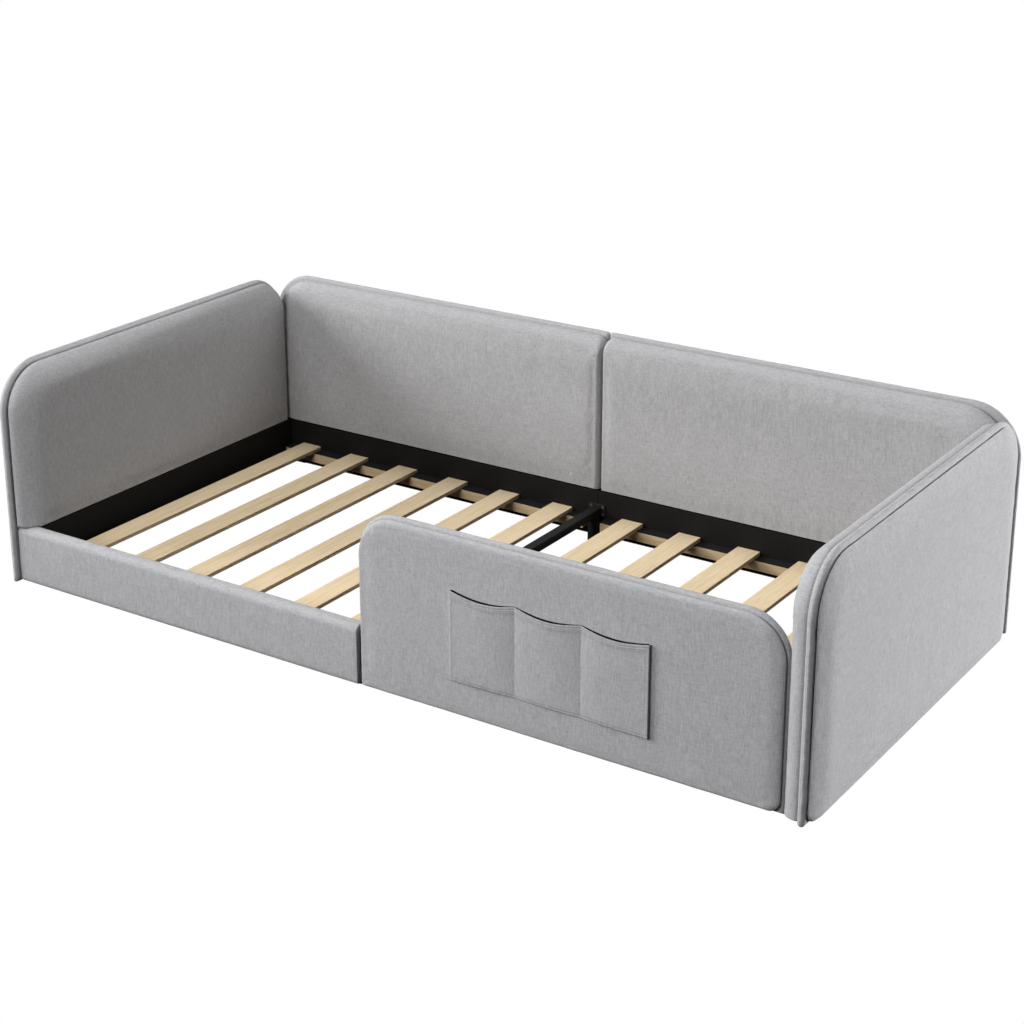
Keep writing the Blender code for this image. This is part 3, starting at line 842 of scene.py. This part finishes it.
def eased_box(shape, low, high, edge, segments=3):
    """Adds a box with eased edges to a mesh in the making."""
    low, high = Vector(low), Vector(high)
    made = bmesh.ops.create_cube(shape, size=1.0)["verts"]
    bmesh.ops.scale(shape, vec=high - low, verts=made)
    bmesh.ops.translate(shape, vec=(low + high) / 2, verts=made)
    edges = list({side for vert in made for side in vert.link_edges})
    bmesh.ops.bevel(shape, geom=edges, offset=edge, segments=segments, affect="EDGES", profile=0.5)


def make_slats():
    """Slats with eased edges, and a sawn, darker edge along each side."""
    for node in sorted(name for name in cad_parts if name.startswith("slat_")):
        low, high = node_box(node)
        shape = bmesh.new()
        eased_box(shape, low, high, 0.0010)
        for face in shape.faces:
            face.material_index = int(abs(face.normal.z) < 0.6)
        slat = add_object("birch_" + node, to_mesh("birch_" + node, shape), SLAT_FACE, smooth=False)
        slat.data.materials.append(SLAT_EDGE)
        ride(slat, "birch", node)


def add_screw(shape, place, outward, radius=0.0042):
    """A pan head with a hexagon socket, facing outward."""
    turn = Vector((0, 0, 1)).rotation_difference(outward).to_matrix()
    profile = ((1.0, 0.0), (1.0, 0.25), (0.86, 0.45), (0.52, 0.52), (0.44, 0.50), (0.40, 0.12))
    rings = []
    for share, rise in profile:
        ring = []
        for corner in range(24):
            angle = math.radians(15 * corner)
            # The socket's rings are hexagons, and the head's are round.
            hexagon = math.cos(math.radians(30)) / math.cos((angle % math.radians(60)) - math.radians(30))
            reach = radius * share * (hexagon if share < 0.5 else 1.0)
            point = Vector((reach * math.cos(angle), reach * math.sin(angle), radius * rise))
            ring.append(shape.verts.new(place + turn @ point))
        rings.append(ring)
    bridge(shape, rings)


def make_screws():
    """Screw heads on the cross bar's plates and on the corner brackets."""
    shape = bmesh.new()
    for node, inward in (("cross_bar_plate_front", 1), ("cross_bar_plate_back", -1)):
        low, high = node_box(node)
        face = high.y if inward > 0 else low.y
        for x in (low.x + 0.0065, high.x - 0.0065):
            for z in (low.z + 0.0065, high.z - 0.0065):
                add_screw(shape, Vector((x, face, z)), Vector((0, inward, 0)), 0.0036)
    wall = 0.0025
    for name in (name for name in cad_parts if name.startswith("corner_bracket")):
        low, high = node_box(name)
        middle_z = (low.z + high.z) / 2
        to_back = -1 if name.split("_")[2] == "back" else 1
        to_right = -1 if name.endswith("right") else 1
        face_y = (high.y - wall) if to_back < 0 else (low.y + wall)
        face_x = (high.x - wall) if to_right < 0 else (low.x + wall)
        for share in (0.42, 0.78):
            along_x = (low.x + (high.x - low.x) * share) if to_right > 0 else (high.x - (high.x - low.x) * share)
            along_y = (low.y + (high.y - low.y) * share) if to_back > 0 else (high.y - (high.y - low.y) * share)
            add_screw(shape, Vector((along_x, face_y, middle_z)), Vector((0, to_back, 0)))
            add_screw(shape, Vector((face_x, along_y, middle_z)), Vector((to_right, 0, 0)))
    ride(add_object("screw_heads", to_mesh("screw_heads", shape), ZINC, smooth=False), "black_steel")


def finish_hard_nodes():
    """Hard CAD pieces keep their shape and take a real finish."""
    finishes = {
        "inner_rail": BOARD,
        "step_rail_board": BOARD,
        "ledger": LEDGER_FACE,
        "felt_strip": FELT,
        "cross_bar": STEEL,
        "leg_glide": PLASTIC,
        "leg_front": STEEL,
        "leg_back": STEEL,
        "corner_bracket": STEEL,
    }
    for name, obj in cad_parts.items():
        for start, material in finishes.items():
            if name.startswith(start):
                obj.material_slots[0].material = material


# ---------------------------------------------------------------- stage

def make_stage():
    mesh = bpy.data.meshes.new("floor")
    shape = bmesh.new()
    bmesh.ops.create_grid(shape, x_segments=1, y_segments=1, size=30.0)
    bmesh.ops.translate(shape, vec=(0, 0, -0.0005), verts=shape.verts)
    shape.to_mesh(mesh)
    shape.free()
    material, nodes, links = new_material("white_floor")
    shader = principled(nodes)
    shader.inputs["Base Color"].default_value = (0.0, 0.0, 0.0, 1.0)
    shader.inputs["Specular IOR Level"].default_value = 0.0
    shader.inputs["Emission Color"].default_value = (1.0, 1.0, 1.0, 1.0)
    shader.inputs["Emission Strength"].default_value = 1.0
    floor = add_object("floor", mesh, material, smooth=False)
    floor.visible_diffuse = False
    floor.visible_glossy = False
    floor.visible_shadow = False


def make_world():
    """White to the camera. As light, a soft sky, weak from below and from the front right."""
    world = bpy.data.worlds.new("studio")
    bpy.context.scene.world = world
    world.use_nodes = True
    nodes, links = world.node_tree.nodes, world.node_tree.links
    direction = nodes.new("ShaderNodeTexCoord").outputs["Generated"]
    split = nodes.new("ShaderNodeSeparateXYZ")
    links.new(direction, split.inputs["Vector"])
    toward = nodes.new("ShaderNodeVectorMath")
    toward.operation = "DOT_PRODUCT"
    toward.inputs[1].default_value = DIM_SIDE
    links.new(direction, toward.inputs[0])
    height = fade(nodes, links, split.outputs["Z"], (-0.25, 0.5), (SKY_BELOW, SKY_ABOVE))
    side = fade(nodes, links, toward.outputs["Value"], (-0.1, 0.7), (1.0, DIM_SHARE))
    sky = nodes["Background"]
    sky.inputs["Color"].default_value = (1.0, 1.0, 1.0, 1.0)
    links.new(maths(nodes, links, "MULTIPLY", height, side), sky.inputs["Strength"])
    white = nodes.new("ShaderNodeBackground")
    white.inputs["Color"].default_value = (1.0, 1.0, 1.0, 1.0)
    path = nodes.new("ShaderNodeLightPath")
    mix = nodes.new("ShaderNodeMixShader")
    links.new(path.outputs["Is Camera Ray"], mix.inputs["Fac"])
    links.new(sky.outputs["Background"], mix.inputs[1])
    links.new(white.outputs["Background"], mix.inputs[2])
    links.new(mix.outputs["Shader"], nodes["World Output"].inputs["Surface"])


def fade(nodes, links, value, start_end, levels):
    """A value carried evenly from one range to another, and held at its ends."""
    node = nodes.new("ShaderNodeMapRange")
    node.inputs["From Min"].default_value, node.inputs["From Max"].default_value = start_end
    node.inputs["To Min"].default_value, node.inputs["To Max"].default_value = levels
    links.new(value, node.inputs["Value"])
    return node.outputs["Result"]


def area_light(name, place, target, size, watts):
    light = bpy.data.lights.new(name, "AREA")
    light.shape = "RECTANGLE"
    light.size, light.size_y = size
    light.energy = watts
    obj = bpy.data.objects.new(name, light)
    obj.location = place
    obj.rotation_euler = (Vector(target) - Vector(place)).to_track_quat("-Z", "Y").to_euler()
    obj.visible_camera = False
    bpy.context.scene.collection.objects.link(obj)


SKY_ABOVE = 0.15
SKY_BELOW = 0.03
DIM_SIDE = (0.66, -0.75, 0.0)
DIM_SHARE = 0.15


def make_lights():
    area_light("left", (-12.5, -6.2, 6.0), (0.0, 0.0, 0.2), (8.0, 6.0), 2330)
    area_light("front", (-0.8, -4.6, 2.4), (0.1, 0.0, 0.3), (2.2, 1.6), 132)
    area_light("overhead", (0.4, 0.6, 6.4), (0.0, 0.0, 0.0), (5.0, 4.0), 165)
    area_light("right_high", (7.6, 2.2, 2.8), (0.6, 0.0, 0.3), (2.6, 2.0), 165)
    area_light("right_low", (6.0, 7.2, 0.6), (1.0, 0.0, 0.26), (3.0, 0.8), 1100)


def make_camera():
    camera = bpy.data.cameras.new("camera")
    camera.lens = 73.14
    camera.sensor_width = 36.0
    camera.shift_y = -0.10
    obj = bpy.data.objects.new("camera", camera)
    obj.location = (2.405, -3.586, 1.958)
    obj.rotation_euler = (math.radians(90 - 19.04), 0.0, math.radians(33.4))
    bpy.context.scene.collection.objects.link(obj)
    bpy.context.scene.camera = obj
    bpy.context.scene.view_settings.view_transform = "Standard"


make_end_panels()
make_back_panel()
make_guard()
settle_pads()
fit_end_pads()
make_step_rail()
make_pockets()
make_slats()
make_screws()
finish_hard_nodes()
make_stage()
make_world()
make_lights()
make_camera()
